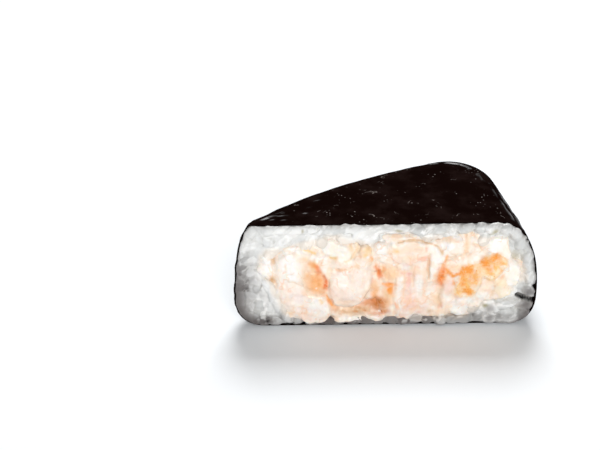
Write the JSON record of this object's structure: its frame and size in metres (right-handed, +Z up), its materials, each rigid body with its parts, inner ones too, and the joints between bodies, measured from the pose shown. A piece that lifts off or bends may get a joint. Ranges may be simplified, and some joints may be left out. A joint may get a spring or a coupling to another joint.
{
  "type": "half of a filled onigiri rice ball",
  "caption": "Half of a triangular rice ball in a nori wrap, cut from its tip to the middle of its base, with a creamy prawn filling at the cut.",
  "frame": {"origin": "on the resting plane, under the middle of the whole half's box", "axes": "+Z up; +X along the cut edge from the tip to the base side; the cut face looks towards -Y"},
  "size_m": [0.0756, 0.0506, 0.0292],
  "materials": {
    "nori": "near-black dried seaweed, finely fibrous, faint satin sheen on its creases",
    "rice": "translucent white cooked grains, moist",
    "cream": "soft peach mayonnaise cream, moist",
    "prawn": "pale cooked prawn under cream, moist",
    "prawn_orange": "orange skin side of a cooked prawn, moist",
    "crab": "stranded pale meat with orange-pink edges, moist",
    "orange_piece": "granular orange-yellow piece, moist",
    "cheese": "soft white curd, moist"
  },
  "bodies": {
    "root": {"nori_wrap": "nori", "rice": "rice", "cream_filling": "cream", "prawn_middle": "prawn", "prawn_left": "prawn", "prawn_slab": "prawn", "prawn_right": "prawn", "prawn_left_tail": "prawn_orange", "crab_block": "crab", "orange_piece_left": "orange_piece", "orange_piece_right": "orange_piece", "cheese_right": "cheese", "cheese_low": "cheese", "cheese_top": "cheese", "orange_piece_low": "orange_piece", "cheese_left": "cheese"}
  },
  "joints": []
}
